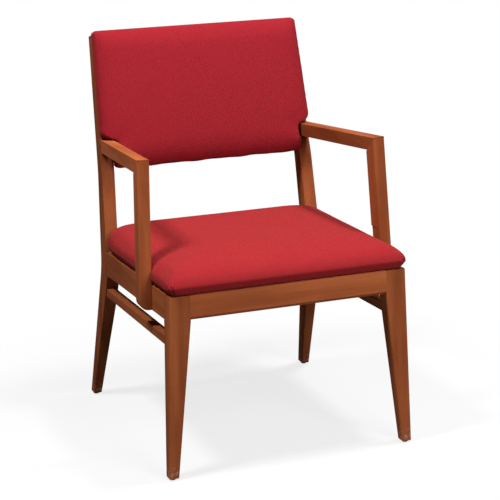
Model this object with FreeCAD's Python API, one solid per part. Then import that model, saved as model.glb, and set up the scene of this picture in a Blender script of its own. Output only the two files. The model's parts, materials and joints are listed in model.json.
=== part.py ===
import FreeCAD, Part
import math
import os

V = FreeCAD.Vector

# Upholstered wooden armchair, in millimetres and degrees.
# X is to the right seen from the front, the front faces -Y, and the floor is at Z = 0.

# Overall frame
overall_depth = 622.0
floor_half_width = 281.0
side_lean = 2.2
seat_slope = 2.1
rail_top = 400.0
seat_depth = 468.0
glue_gap = 0.1
soft_gap = 0.3

# Front legs, square above the rails and tapered to the foot
front_leg_width = 46.4
front_leg_depth = 39.7
front_foot_width = 21.6
front_foot_depth = 22.9
foot_chamfer = 1.5
easing = 2.0

# Rear posts, sawn with a knee below the seat and a bend below the back pad
post_width = 30.0
post_top = 864.0
knee_height = 340.0
bend_height = 562.0
bend_setback = 34.0
top_setback = 115.0
rear_foot_width = 18.4
rear_foot_depth = 25.7
knee_depth = 48.0
bend_depth = 36.5
top_depth = 25.0
knee_land = 15.0
knee_radius = 150.0
bend_radius = 400.0

# Seat rails and side stretchers
rail_height = 54.0
rail_thickness = 22.0
front_bevel_height = 7.5
front_bevel_depth = 9.0
stretcher_width = 22.4
stretcher_height = 20.0
stretcher_drop = 90.3
stretcher_slope = 1.8
stretcher_inset = 2.6
tenon_diameter = 12.0
tenon_length = 14.0

# Arms, each one flat frame of an arm and a post with a finger mitre
arm_top = 662.0
arm_setback = 141.6
arm_tilt = 3.7
arm_width = 27.0
arm_height = 29.9
arm_post_depth = 36.5
arm_rear_inset = 2.5
arm_post_lift = 2.0
arm_post_round = 19.0
finger_count = 5
finger_reach = 4.0

# Seat cushion, with its own roll at each edge and its own run from there up to the crown
seat_front_overhang = 6.0
seat_side_overhang = 3.5
seat_rear_gap = 1.0
seat_front_edge = 51.0
seat_rear_edge = 62.0
seat_crown = 13.0
seat_draw_in = 11.0
seat_front_roll = 35.0
seat_side_roll = 40.0
seat_rear_roll = 9.0
seat_front_reach = 0.58
seat_side_reach = 0.42
seat_rear_reach = 0.34
seat_front_corner = 14.0
seat_rear_corner = 19.0

# Back pad
pad_bottom_lift = 7.0
pad_length = 320.0
pad_overhang = 3.0
pad_edge = 28.0
pad_crown = 12.0
pad_draw_in = 5.0
pad_roll = 28.0
pad_reach = 0.65
pad_corner = 11.0
pad_notch_gap = 5.0
pad_side_gap = 1.0
pad_notch_corner = 6.0

# Upholstery that both cushions share
cover_thickness = 1.5
board_thickness = 12.0
board_margin = 5.0
hem_width = 33.0
widest_share = 0.31
shoulder_steps = 4
crown_steps = 2

# Glue blocks and fasteners
block_leg = 85.0
block_thickness = 24.0
block_drop = 4.0
dowel_diameter = 9.0
dowel_length = 36.0
dowel_spacing = 22.0
screw_diameter = 4.5
screw_head_diameter = 8.5
screw_head_height = 3.0
screw_bite = 14.0
block_screw_share = 0.6
block_head_share = 0.25
seat_screw_share = 0.42
board_bite_share = 0.75
post_head_share = 0.45
arm_dowel_share = 0.6
arm_fixing_spacing = 12.0
pad_screw_inset = 45.0
plug_diameter = 12.0
bolt_diameter = 6.0
bolt_head_diameter = 10.0
bolt_head_height = 4.0
bolt_spacing = 26.0
washer_diameter = 16.0
washer_thickness = 1.5
insert_diameter = 10.0
insert_length = 14.0
glide_height = 4.0
glide_diameter = 14.0
glide_chamfer = 1.5
nail_diameter = 2.6
nail_length = 18.0

# Room that cutting shapes reach past what they cut
beyond = 60.0

# Places that follow from the sizes above
lean = math.tan(math.radians(side_lean))
bulge_setback = seat_front_edge * widest_share * math.sin(math.radians(seat_slope))
leg_front_y = seat_front_overhang - bulge_setback - overall_depth / 2
foot_back_y = overall_depth / 2
knee_front_y = leg_front_y + seat_depth
bend_front_y = knee_front_y + bend_setback
top_front_y = knee_front_y + top_setback
arm_front_y = leg_front_y + arm_setback
pad_angle = math.atan2(top_setback - bend_setback, post_top - bend_height)


def post_front_y(height):
    """Front of a rear post at a height above the knee."""
    if height < bend_height:
        share = (height - knee_height) / (bend_height - knee_height)
        return knee_front_y + bend_setback * share
    share = (height - bend_height) / (post_top - bend_height)
    return bend_front_y + (top_front_y - bend_front_y) * share


def post_depth(height):
    """Depth of a rear post at a height above the bend."""
    share = (height - bend_height) / (post_top - bend_height)
    return bend_depth + (top_depth - bend_depth) * share


def rail_top_at(y):
    """Height of the sloping rail tops at a place along the depth."""
    return rail_top - (y - leg_front_y) * math.tan(math.radians(seat_slope))


def half_width(height):
    """Half the chair's width at the outer faces of the leaning side frames."""
    return floor_half_width - height * lean


def on_side(y, z):
    """Maps an outline of a side view to the plane X = 0."""
    return V(0, y, z)


def on_front(x, z):
    """Maps an outline of a front view to a plane before the chair."""
    return V(x, -overall_depth / 2 - beyond, z)


def on_plan(x, y):
    """Maps an outline of a plan to the plane Z = 0."""
    return V(x, y, 0)


def rounded_wire(corners, place):
    """Closed wire through (a, b, radius) corners, mapped into space by place."""
    spans = []
    for i, (a, b, radius) in enumerate(corners):
        here = V(a, b, 0)
        before = V(*corners[i - 1][:2], 0) - here
        after = V(*corners[(i + 1) % len(corners)][:2], 0) - here
        before.normalize()
        after.normalize()
        if radius == 0:
            spans.append((here, None, here))
            continue
        half = before.getAngle(after) / 2
        inward = before + after
        inward.normalize()
        reach = radius / math.tan(half)
        middle = here + inward * (radius / math.sin(half) - radius)
        spans.append((here + before * reach, middle, here + after * reach))
    edges = []
    for i, (start, middle, end) in enumerate(spans):
        if middle:
            points = [place(p.x, p.y) for p in (start, middle, end)]
            edges.append(Part.Arc(*points).toShape())
        following = spans[(i + 1) % len(spans)][0]
        edges.append(Part.makeLine(place(end.x, end.y), place(following.x, following.y)))
    return Part.Wire(edges)


def prism(corners, place, direction, start=None):
    """Solid made by pushing a rounded outline along a direction."""
    face = Part.Face(rounded_wire(corners, place))
    if start:
        face.translate(start)
    return face.extrude(direction)


def side_prism(corners, inner, outer):
    """Prism of a side view, between two places across the right side frame."""
    width = V(outer - inner, 0, 0)
    return prism(corners, on_side, width, V(floor_half_width + inner, 0, 0))


def front_prism(corners):
    """Prism of a front view, through the whole depth of the chair."""
    return prism(corners, on_front, V(0, overall_depth + 2 * beyond, 0))


def eased(solid, radius, keep):
    """The solid with each long edge that keep() accepts rounded."""
    return solid.makeFillet(radius, [edge for edge in solid.Edges if keep(edge)])


def leaned(shape):
    """A shape of the right side frame, leaned in about the outer edge of its feet."""
    turned = shape.copy()
    turned.rotate(V(floor_half_width, 0, 0), V(0, 1, 0), -side_lean)
    return turned


def mirrored(shape):
    """The left side's copy of a right side shape."""
    return shape.mirror(V(0, 0, 0), V(1, 0, 0))


def seated(shape):
    """A shape drawn from the front top edge of the rails, laid on their slope."""
    turned = shape.copy()
    turned.rotate(V(0, 0, 0), V(1, 0, 0), -seat_slope)
    turned.translate(V(0, leg_front_y, rail_top))
    return turned


def against_back(shape):
    """A shape drawn flat from the posts' bend, stood against their upper fronts."""
    turned = shape.copy()
    turned.rotate(V(0, 0, 0), V(1, 0, 0), 90 - math.degrees(pad_angle))
    turned.translate(V(0, bend_front_y, bend_height))
    turned.translate(V(0, -math.cos(pad_angle), math.sin(pad_angle)) * soft_gap)
    return turned


def one_solid(shape):
    """The single solid of a cut or fused shape, with its split faces joined."""
    return shape.removeSplitter().Solids[0]


def rod(start, direction, diameter, length):
    """Plain round rod."""
    return Part.makeCylinder(diameter / 2, length, start, direction)


def screw(start, direction, length, room=0.0):
    """Screw whose head ends at start, or with room the hole for it and for its driver."""
    shank = rod(start, direction, screw_diameter + 2 * room, length + room)
    head_length = beyond if room else screw_head_height
    head = rod(start - direction * head_length, direction, screw_head_diameter + 2 * room, head_length)
    return shank.fuse(head)


def place_arm(shape):
    """A shape drawn from the outer front top corner of an arm, put on the right side frame."""
    turned = shape.copy()
    turned.rotate(V(0, 0, 0), V(0, 0, 1), arm_toe)
    turned.rotate(V(0, 0, 0), V(1, 0, 0), -arm_tilt)
    turned.translate(V(floor_half_width + arm_width, arm_front_y, arm_top))
    return turned


# Arm directions: the arm falls to the rear and turns in to land on the post
arm_rear_height = arm_top - (post_front_y(arm_top) - arm_front_y) * math.tan(math.radians(arm_tilt))
arm_run = post_front_y(arm_rear_height - arm_height / 2) - arm_front_y
arm_toe = math.degrees(math.atan2(arm_width + arm_rear_inset, arm_run))
arm_length = arm_run / math.cos(math.radians(arm_tilt)) / math.cos(math.radians(arm_toe))

# Cutting shapes for the rail tops and the feet
wide = 2 * floor_half_width + 2 * beyond
above_seat = seated(Part.makeBox(wide, overall_depth, beyond, V(-wide / 2, -beyond, 0)))
below_feet = Part.makeBox(wide, overall_depth + 2 * beyond, beyond + glide_height)
below_feet.translate(V(-wide / 2, -overall_depth / 2 - beyond, -beyond))


def front_leg():
    """Leg square at the rails, tapered on its inner and rear faces to the foot, edges chamfered."""
    def section(height, width, depth):
        corners = []
        for x, y, turn in [
            (floor_half_width - width, leg_front_y, (1, 1)),
            (floor_half_width, leg_front_y, (-1, 1)),
            (floor_half_width, leg_front_y + depth, (-1, -1)),
            (floor_half_width - width, leg_front_y + depth, (1, -1)),
        ]:
            beside_x = (x + turn[0] * easing, y, 0)
            beside_y = (x, y + turn[1] * easing, 0)
            corners += [beside_y, beside_x] if turn[0] == turn[1] else [beside_x, beside_y]
        return rounded_wire(corners, lambda x, y: V(x, y, height))

    sections = [
        section(0, front_foot_width, front_foot_depth),
        section(rail_top - rail_height, front_leg_width, front_leg_depth),
        section(rail_top + easing, front_leg_width, front_leg_depth),
    ]
    return Part.makeLoft(sections, True, True)


def rear_post():
    """Post sawn from a board: side view with knee and bend, inner face tapered to the foot."""
    fall = bend_setback / (bend_height - knee_height)
    top_back = (top_front_y + top_depth, post_top)
    top_rise = top_depth * math.sin(pad_angle)
    top_front = (top_front_y + top_rise * math.sin(pad_angle), post_top + top_rise * math.cos(pad_angle))
    splay = (foot_back_y - knee_front_y - knee_depth) / (knee_height - glide_height)
    floor_back_y = foot_back_y + glide_height * splay
    outline = [
        (floor_back_y - rear_foot_depth, 0, 0),
        (knee_front_y - knee_land * fall, knee_height - knee_land, 0),
        (bend_front_y, bend_height, 0),
        (*top_front, 0),
        (*top_back, 0),
        (bend_front_y + bend_depth, bend_height, bend_radius),
        (knee_front_y + knee_depth, knee_height, knee_radius),
        (floor_back_y, 0, 0),
    ]
    post = side_prism(outline, -post_width, 0)
    post = eased(post, easing, lambda edge: edge.BoundBox.XLength < easing and edge.BoundBox.ZMax > easing)
    stretcher_fall = (seat_depth + knee_depth) * math.tan(math.radians(stretcher_slope))
    taper_top = rail_top - stretcher_drop - stretcher_height - stretcher_fall
    taper = [
        (floor_half_width - post_width - beyond, 0, 0),
        (floor_half_width - rear_foot_width, 0, 0),
        (floor_half_width - post_width, taper_top, 0),
        (floor_half_width - post_width - beyond, taper_top, 0),
    ]
    return one_solid(post.cut(front_prism(taper)))


def footed(shape):
    """A leg or post cut level above its glide, the edges of its foot chamfered."""
    standing = one_solid(shape.cut(below_feet))
    foot = min(standing.Faces, key=lambda face: face.CenterOfMass.z).BoundBox

    def level(grown, rise):
        z = glide_height + rise
        corners = [
            V(foot.XMin - grown, foot.YMin - grown, z),
            V(foot.XMax + grown, foot.YMin - grown, z),
            V(foot.XMax + grown, foot.YMax + grown, z),
            V(foot.XMin - grown, foot.YMax + grown, z),
        ]
        return Part.makePolygon(corners + corners[:1])

    reach = 2 * foot_chamfer
    flare = Part.makeLoft([level(-reach, -foot_chamfer), level(foot_chamfer, reach)], True)
    collar = Part.makeLoft([level(reach, -foot_chamfer), level(reach, reach)], True)
    return one_solid(standing.cut(collar.cut(flare)))


def side_rail(leg, post):
    """Rail between a leg and a post, outer faces flush, fitted to both."""
    rear_y = post_front_y(rail_top) + knee_depth / 2
    front_y = leg_front_y + front_leg_depth / 2
    extra = easing
    outline = [
        (front_y, rail_top_at(front_y) - rail_height, 0),
        (front_y, rail_top_at(front_y) + extra, 0),
        (rear_y, rail_top_at(rear_y) + extra, 0),
        (rear_y, rail_top_at(rear_y) - rail_height, 0),
    ]
    bar = side_prism(outline, -rail_thickness, 0)
    low = rail_top_at(front_y) - rail_height + easing
    bar = eased(bar, easing, lambda edge: edge.BoundBox.YLength > beyond and edge.BoundBox.ZMax < low)
    return one_solid(bar.cut(leg).cut(post))


def stretcher_axis():
    """Start and direction of the stretcher's middle line in the right side frame."""
    slope = math.radians(stretcher_slope)
    direction = V(0, math.cos(slope), -math.sin(slope))
    x = floor_half_width - stretcher_inset - stretcher_width / 2
    start = V(x, leg_front_y, rail_top - stretcher_drop - stretcher_height / 2)
    return start, direction


def stretcher(leg, post):
    """Side stretcher with a round tenon at each end, and the tool that bores for the tenons."""
    start, direction = stretcher_axis()
    half = stretcher_height / 2
    outer = -stretcher_inset
    length = seat_depth + knee_depth
    drop = length * math.tan(math.radians(stretcher_slope))
    y = leg_front_y + front_foot_depth / 2
    outline = [
        (y, start.z - half, 0),
        (y, start.z + half, 0),
        (y + length, start.z + half - drop, 0),
        (y + length, start.z - half - drop, 0),
    ]
    bar = side_prism(outline, outer - stretcher_width, outer)
    bar = eased(bar, easing, lambda edge: edge.BoundBox.YLength > beyond)
    middle = [solid for solid in bar.cut(leg).cut(post).Solids if solid.BoundBox.YLength > seat_depth / 2][0]
    front = middle.BoundBox.YMin - tenon_length
    reach = middle.BoundBox.YMax + tenon_length / 2 - front
    base = start + direction * (front - start.y)
    tenons = rod(base, direction, tenon_diameter, reach)
    bore = rod(base - direction, direction, tenon_diameter + 2 * glue_gap, reach + 2)
    return one_solid(middle.fuse(tenons)), bore


def finger_slices(arm_side):
    """Cutting slices on one side of the mitre, shifted to and fro from finger to finger."""
    step = arm_width / finger_count
    run = V(arm_post_depth, -arm_height, 0)
    run.normalize()
    across = V(-run.y, run.x, 0) * (1 if arm_side else -1)
    far = beyond + arm_post_depth
    slices = []
    for i in range(finger_count):
        shift = finger_reach * (1 if i % 2 else -1)
        corner = V(shift, 0, 0)
        inner = corner + run * far
        outer = corner - run * far
        points = [outer, inner, inner + across * far, outer + across * far]
        corners = [(point.x, point.y, 0) for point in points]
        slices.append(prism(corners, on_side, V(step, 0, 0), V(-arm_width + i * step, 0, 0)))
    return slices


def arm_bar(post):
    """Arm with the fingers of the mitre at its front, fitted to the rear post."""
    bar = Part.makeBox(arm_width, arm_length + bend_depth / 2, arm_height, V(-arm_width, 0, -arm_height))
    bar = eased(bar, easing / 2, lambda edge: edge.BoundBox.YLength > beyond)
    bar = bar.cut(finger_slices(False))
    return one_solid(place_arm(bar).cut(post))


def arm_post():
    """Post under the arm's front, its lower outer corner rounded, planed flat at the rail."""
    bottom = rail_top_at(arm_front_y) - rail_height + arm_post_lift
    length = (arm_top - bottom) / math.cos(math.radians(arm_tilt))
    outline = [
        (-arm_width, 0, 0),
        (-arm_width, -length, 0),
        (0, -length, arm_post_round),
        (0, 0, 0),
    ]
    bar = prism(outline, lambda x, z: V(x, 0, z), V(0, arm_post_depth, 0))
    bar = eased(bar, easing / 2, lambda edge: edge.BoundBox.ZLength > beyond)
    bar = place_arm(bar.cut(finger_slices(True)))
    planed = Part.makeBox(beyond, overall_depth, rail_top + beyond)
    planed.translate(V(floor_half_width - beyond, -overall_depth / 2, 0))
    return one_solid(bar.cut(planed))


def front_rail(legs):
    """Rail between the front legs, with a bevel under its front edge."""
    length = 2 * half_width(rail_top) - front_leg_width
    outline = [
        (leg_front_y, rail_top + easing, 0),
        (leg_front_y, rail_top - rail_height + front_bevel_height, easing),
        (leg_front_y + front_bevel_depth, rail_top - rail_height, 0),
        (leg_front_y + rail_thickness, rail_top - rail_height, 0),
        (leg_front_y + rail_thickness, rail_top + easing, 0),
    ]
    bar = prism(outline, on_side, V(length, 0, 0), V(-length / 2, 0, 0))
    return one_solid(bar.cut(legs).cut(above_seat))


def back_rail_y():
    """Front face of the back rail, which sits in the middle of the posts' depth."""
    return post_front_y(rail_top) + (knee_depth - rail_thickness) / 2


def back_rail(posts):
    """Rail between the rear posts."""
    length = 2 * half_width(rail_top) - post_width
    top = rail_top_at(back_rail_y())
    bottom = top - rail_height
    bar = Part.makeBox(length, rail_thickness, rail_height, V(-length / 2, back_rail_y(), bottom))
    low = bottom + easing
    bar = eased(bar, easing, lambda edge: edge.BoundBox.XLength > beyond and edge.BoundBox.ZMax < low)
    return one_solid(bar.cut(posts).cut(above_seat))


def dowel_pair(middle, direction, room=0.0):
    """Two dowels across a joint, one above the other, or the bores for them."""
    length = dowel_length + 4 * room
    pair = []
    for sign in (-1, 1):
        start = middle + V(0, 0, sign * dowel_spacing / 2) - direction * (length / 2)
        pair.append(rod(start, direction, dowel_diameter + 2 * room, length))
    return pair


def side_dowels(room=0.0):
    """Dowels of the right side rail and of the rails across, as they lie before the lean."""
    rail_x = floor_half_width - rail_thickness / 2
    leg_back = leg_front_y + front_leg_depth
    rail_middle = rail_top_at(leg_back) - rail_height / 2
    rear_middle = rail_top_at(knee_front_y) - rail_height / 2
    along = V(0, 1, 0)
    side = dowel_pair(V(rail_x, leg_back, rail_middle), along, room)
    side += dowel_pair(V(rail_x, post_front_y(rear_middle), rear_middle), along, room)
    across = V(1, 0, 0)
    front_y = leg_front_y + front_bevel_depth + dowel_diameter / 2
    front = dowel_pair(V(floor_half_width - front_leg_width, front_y, rail_middle), across, room)
    back_y = back_rail_y() + rail_thickness / 2
    back = dowel_pair(V(floor_half_width - post_width, back_y, rear_middle), across, room)
    return side, front, back


def cushion_levels():
    """Shares of the draw-in, roll and run, then of the edge's height and the crown, from the bottom up."""
    yield (1.0, 0.0, 0.0), 0.0, 0.0
    yield (0.0, 0.0, 0.0), widest_share, 0.0
    for step in range(1, shoulder_steps + 1):
        angle = math.pi / 2 * step / shoulder_steps
        yield (0.0, 1 - math.cos(angle), 0.0), widest_share + (1 - widest_share) * math.sin(angle), 0.0
    for step in range(1, crown_steps + 1):
        share = step / crown_steps
        yield (0.0, 1.0, share), 1.0, 1 - (1 - share) ** 2


def inset(shares, draw_in, roll, half_span, reach):
    """How far a level of a cushion lies inside its widest outline, at one edge."""
    return shares[0] * draw_in + shares[1] * roll + shares[2] * (half_span - roll) * reach


def cushion_form(outline, edge, crown, wall):
    """Crowned cushion with drawn-in sides, or with wall the hollow of its cover."""
    sections = []
    for shares, edge_share, crown_share in cushion_levels():
        def place(a, b, share=edge_share, lift=crown * crown_share):
            foot = cover_thickness if wall else 0.0
            return V(a, b, foot + (edge(b) - foot - wall) * share + lift)
        sections.append(rounded_wire(outline(shares, wall), place))
    return Part.makeLoft(sections, True, True)


def cushion(outline, edge, crown):
    """Cover, foam, board and under-cloth of one cushion, drawn flat from its underside."""
    def sheet(margin, bottom, height):
        return prism(outline((1.0, 0.0, 0.0), margin), on_plan, V(0, 0, height), V(0, 0, bottom))

    hollow = cushion_form(outline, edge, crown, cover_thickness)
    opening = sheet(hem_width, -cover_thickness, 3 * cover_thickness)
    cover = cushion_form(outline, edge, crown, 0.0).cut(hollow).cut(opening)
    board = sheet(board_margin, cover_thickness, board_thickness)
    foam = cushion_form(outline, edge, crown, cover_thickness + soft_gap).cut(board)
    cloth = sheet(hem_width + soft_gap, 0, cover_thickness)
    return cover, foam, board, cloth


def seat_outline(shares, wall):
    """Plan of the seat cushion at a level, from the front top edge of the rails."""
    rear = post_front_y(rail_top_at(knee_front_y)) - leg_front_y - seat_rear_gap
    half = half_width(rail_top) + seat_side_overhang
    front = -seat_front_overhang
    half_depth = (rear - front) / 2
    half -= inset(shares, seat_draw_in, seat_side_roll, half, seat_side_reach) + wall
    front += inset(shares, seat_draw_in, seat_front_roll, half_depth, seat_front_reach) + wall
    rear -= inset(shares, seat_draw_in, seat_rear_roll, half_depth, seat_rear_reach) + wall
    return [
        (-half, front, seat_front_corner),
        (half, front, seat_front_corner),
        (half, rear, seat_rear_corner),
        (-half, rear, seat_rear_corner),
    ]


def seat_edge(y):
    """Height of the seat cushion's edge, which grows to the rear."""
    return seat_front_edge + (seat_rear_edge - seat_front_edge) * y / seat_depth


def pad_notch():
    """Place of the pad's notches above the arms, measured up the posts from their bend."""
    return (arm_rear_height - bend_height) / math.cos(pad_angle) + pad_notch_gap


def pad_outline(shares, wall):
    """Outline of the back pad at a level, narrower below, where it stands between the arms."""
    half_span = (pad_bottom_lift + pad_length - pad_notch()) / 2
    inside = inset(shares, pad_draw_in, pad_roll, half_span, pad_reach) + wall

    def side(place_up, out):
        return half_width(bend_height + place_up * math.cos(pad_angle)) + out - inside

    low_out = -arm_rear_inset - arm_width - pad_side_gap
    bottom = pad_bottom_lift + inside
    notch = pad_notch() + inside
    top = pad_bottom_lift + pad_length - inside
    right = [
        (side(bottom, low_out), bottom, pad_corner),
        (side(notch, low_out), notch, pad_notch_corner),
        (side(notch, pad_overhang), notch, pad_corner),
        (side(top, pad_overhang), top, pad_corner),
    ]
    left = [(-x, y, radius) for x, y, radius in reversed(right)]
    return right + left


def pad_edge_height(place_up):
    """Height of the back pad's edge, the same at every place up the posts."""
    return pad_edge


def block_corner(front):
    """Inner corner of the rails at a right glue block's top, and the block's way along the depth."""
    y = leg_front_y + rail_thickness if front else back_rail_y()
    away = 1 if front else -1
    lowest_y = y + block_leg if front else y
    corner = V(half_width(rail_top) - rail_thickness, y, rail_top_at(lowest_y) - block_drop)
    return corner, away


def corner_block(front, neighbours):
    """Right glue block in a corner of the rails, fitted to its neighbours."""
    corner, away = block_corner(front)
    x, y, top = corner
    into = rail_thickness / 2
    outline = [
        (x + into, y - away * into, 0),
        (x + into, y + away * block_leg, 0),
        (x, y + away * block_leg, 0),
        (x - block_leg, y, 0),
        (x - block_leg, y - away * into, 0),
    ]
    blank = prism(outline, on_plan, V(0, 0, block_thickness), V(0, 0, top - block_thickness))
    block = blank.cut(neighbours)
    return max(block.Solids, key=lambda solid: solid.Volume)


def block_screws(front, room=0.0):
    """Screws of a right glue block: one in each rail, and one up into the seat board."""
    corner, away = block_corner(front)
    x, y, top = corner
    middle = top - block_thickness / 2
    bite = block_leg * block_head_share
    apart = block_leg * block_screw_share
    seat_place = block_leg * seat_screw_share
    seat_y = y + away * seat_place
    board_bite = cover_thickness + board_thickness * board_bite_share
    seat_length = rail_top_at(seat_y) - top + block_thickness + board_bite
    length = bite + screw_bite
    into_side = screw(V(x - bite, y + away * apart, middle), V(1, 0, 0), length, room)
    into_cross = screw(V(x - apart, y + away * bite, middle), V(0, -away, 0), length, room)
    up = screw(V(x - seat_place, seat_y, top - block_thickness), V(0, 0, 1), seat_length, room)
    return [into_side, into_cross], up


def bolt_places():
    """Places of the two bolts that hold the right arm post, on the rail's inner face."""
    middle_y = arm_front_y + arm_post_depth / 2
    middle = rail_top_at(middle_y) - rail_height / 2
    for sign in (-1, 1):
        z = middle + sign * bolt_spacing / 2
        y = middle_y - (arm_top - z) * math.tan(math.radians(arm_tilt))
        yield V(floor_half_width - rail_thickness, y, z)


def arm_bolts(room=0.0):
    """Bolts, washers and inserts of the right arm post, or the bores for them."""
    out = V(1, 0, 0)
    bolts = []
    washers = []
    inserts = []
    for place in bolt_places():
        seat = place - out * washer_thickness
        reach = washer_thickness + rail_thickness + insert_length
        shank = rod(seat, out, bolt_diameter + 2 * room, reach)
        head = rod(seat - out * bolt_head_height, out, bolt_head_diameter, bolt_head_height)
        bolts.append(shank.fuse(head))
        hole = rod(seat, out, bolt_diameter + 2 * glue_gap, beyond)
        washers.append(rod(seat, out, washer_diameter, washer_thickness).cut(hole))
        start = V(floor_half_width, place.y, place.z)
        sleeve = rod(start, out, insert_diameter + 2 * room, insert_length + room)
        inserts.append(sleeve if room else sleeve.cut(hole))
    return bolts, washers, inserts


def arm_end_fixings(post, room=0.0):
    """Screw and dowel between the right arm and its rear post, and the plug over the screw."""
    along = V(0, 1, 0)
    middle = V(-arm_width / 2, arm_length, -arm_height / 2)
    apart = V(0, 0, arm_fixing_spacing / 2)
    head_depth = post_depth(arm_rear_height) * post_head_share
    seat = middle + apart + along * head_depth
    fixing = screw(seat, -along, head_depth + 2 * screw_bite, room)
    dowel_start = middle - apart - along * (dowel_length * arm_dowel_share + 2 * room)
    dowel = rod(dowel_start, along, dowel_diameter + 2 * room, dowel_length + 4 * room)
    plug_start = seat + along * (screw_head_height + glue_gap)
    plug = rod(plug_start, along, plug_diameter + 2 * room, beyond)
    plug = place_arm(plug)
    if not room:
        plug = plug.common(post)
    return place_arm(fixing), place_arm(dowel), plug


def back_screws(post, room=0.0):
    """Screws through the right rear post into the back board, and the plugs over them."""
    up = V(0, math.sin(pad_angle), math.cos(pad_angle))
    out = V(0, -math.cos(pad_angle), math.sin(pad_angle))
    screws = []
    plugs = []
    for place_up in (pad_notch() + pad_screw_inset, pad_bottom_lift + pad_length - pad_screw_inset):
        base = V(0, bend_front_y, bend_height) + up * place_up
        base.x = half_width(base.z) - post_width / 2
        head_depth = post_depth(base.z) * post_head_share
        seat = base - out * head_depth
        board_bite = cover_thickness + board_thickness * board_bite_share
        screws.append(screw(seat, out, head_depth + soft_gap + board_bite, room))
        plug = rod(seat - out * (screw_head_height + glue_gap), -out, plug_diameter + 2 * room, beyond)
        plugs.append(plug if room else plug.common(post))
    return screws, plugs


def glide(x, y):
    """Round glide under a foot, with its lower edge chamfered, and its nail."""
    radius = glide_diameter / 2
    rim = Part.makeCone(radius - glide_chamfer, radius, glide_chamfer, V(x, y, 0))
    disc = Part.makeCylinder(radius, glide_height - glide_chamfer, V(x, y, glide_chamfer))
    nail = rod(V(x, y, glide_height / 2), V(0, 0, 1), nail_diameter, nail_length)
    return one_solid(rim.fuse(disc).cut(nail)), nail


def save(name, *solids):
    """Writes a node's solid, or a group's separate solids."""
    shape = solids[0] if len(solids) == 1 else Part.makeCompound(list(solids))
    shape.exportStep(os.path.join("parts", name + ".step"))


def both(solids):
    """Right side solids with their left side copies."""
    return [*solids, *[mirrored(solid) for solid in solids]]


def save_pair(name, right):
    """Writes the two nodes of a piece that the chair has on each side."""
    save(name + "_right", right)
    save(name + "_left", mirrored(right))


os.makedirs("parts", exist_ok=True)

# The right side frame, made upright and flat
leg_blank = front_leg()
post_blank = rear_post()
rail = side_rail(leg_blank, post_blank)
rung, rung_bore = stretcher(leg_blank, post_blank)
arm = arm_bar(post_blank)
upright = arm_post()

# Bores in the side frame before it leans
side_bores, front_bores, back_bores = side_dowels(glue_gap)
arm_screw_bore, arm_dowel_bore, arm_plug_bore = arm_end_fixings(post_blank, glue_gap)
bolt_bores, _, insert_bores = arm_bolts(glue_gap)
leg = leg_blank.cut(side_bores + front_bores + [rung_bore])
post = post_blank.cut(side_bores + back_bores + [rung_bore, arm_screw_bore, arm_dowel_bore, arm_plug_bore])
rail = rail.cut(side_bores + bolt_bores)
arm = arm.cut([arm_screw_bore, arm_dowel_bore])
upright = upright.cut(bolt_bores + insert_bores)

# The side frame leaned in, with its rail tops and feet cut level
leg = footed(leaned(leg).cut(above_seat))
post = footed(leaned(post))
rail = leaned(rail).cut(above_seat)
rung = leaned(rung)
arm = leaned(arm)
upright = leaned(upright)

# Glides and nails under the four feet
front_foot_x = half_width(glide_height) - front_foot_width / 2
rear_foot_x = half_width(glide_height) - rear_foot_width / 2
front_glide, front_nail = glide(front_foot_x, leg_front_y + front_foot_depth / 2)
rear_glide, rear_nail = glide(rear_foot_x, foot_back_y - rear_foot_depth / 2)
leg = leg.cut(front_nail)
post = post.cut(rear_nail)

# Rails across, fitted between the leaning side frames and bored for their dowels
side_dowel, front_dowel, back_dowel = side_dowels()
leaned_front_bores = both([leaned(bore) for bore in front_bores])
leaned_back_bores = both([leaned(bore) for bore in back_bores])
front_bar = front_rail(both([leaned(leg_blank)])).cut(leaned_front_bores)
back_bar = back_rail(both([leaned(post_blank)])).cut(leaned_back_bores)

# Glue blocks and their screws
front_fit = [leaned(leg_blank), rail, front_bar]
back_fit = [leaned(post_blank), rail, back_bar]
front_block = corner_block(True, front_fit)
rear_block = corner_block(False, back_fit)
front_holes, front_up_hole = block_screws(True, glue_gap)
rear_holes, rear_up_hole = block_screws(False, glue_gap)
front_screws, front_up = block_screws(True)
rear_screws, rear_up = block_screws(False)
front_block = front_block.cut(front_holes + [front_up_hole])
rear_block = rear_block.cut(rear_holes + [rear_up_hole])
rail = rail.cut(front_holes + rear_holes)
front_bar = front_bar.cut(both(front_holes))
back_bar = back_bar.cut(both(rear_holes))

# Seat cushion, dented by the arm posts
seat_cover, seat_foam, seat_board, seat_cloth = [
    seated(piece) for piece in cushion(seat_outline, seat_edge, seat_crown)
]
dent = place_arm(Part.makeBox(
    arm_width + soft_gap, arm_post_depth + 2 * soft_gap, arm_top,
    V(-arm_width - soft_gap, -soft_gap, -arm_top),
))
foam_dent = place_arm(Part.makeBox(
    arm_width + cover_thickness + 2 * soft_gap, arm_post_depth + 4 * soft_gap, arm_top,
    V(-arm_width - cover_thickness - 2 * soft_gap, -2 * soft_gap, -arm_top),
))
seat_cover = seat_cover.cut(both([leaned(dent)]))
seat_foam = seat_foam.cut(both([leaned(foam_dent)]))
seat_holes = both([front_up_hole, rear_up_hole])
seat_board = seat_board.cut(seat_holes)
seat_cover = seat_cover.cut(seat_holes)
seat_cloth = seat_cloth.cut(seat_holes)

# Back pad, screwed on through the posts
back_cover, back_foam, back_board, back_cloth = [
    against_back(piece) for piece in cushion(pad_outline, pad_edge_height, pad_crown)
]
post_screw_holes, post_plug_holes = back_screws(post, glue_gap)
pad_screws, pad_plugs = back_screws(leaned(post_blank))
post = post.cut(post_screw_holes + post_plug_holes)
back_board = back_board.cut(both(post_screw_holes))
back_cover = back_cover.cut(both(post_screw_holes))

# Fixings of the arms
arm_screw, arm_dowel, arm_plug = arm_end_fixings(post_blank)
bolts, washers, inserts = arm_bolts()

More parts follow.
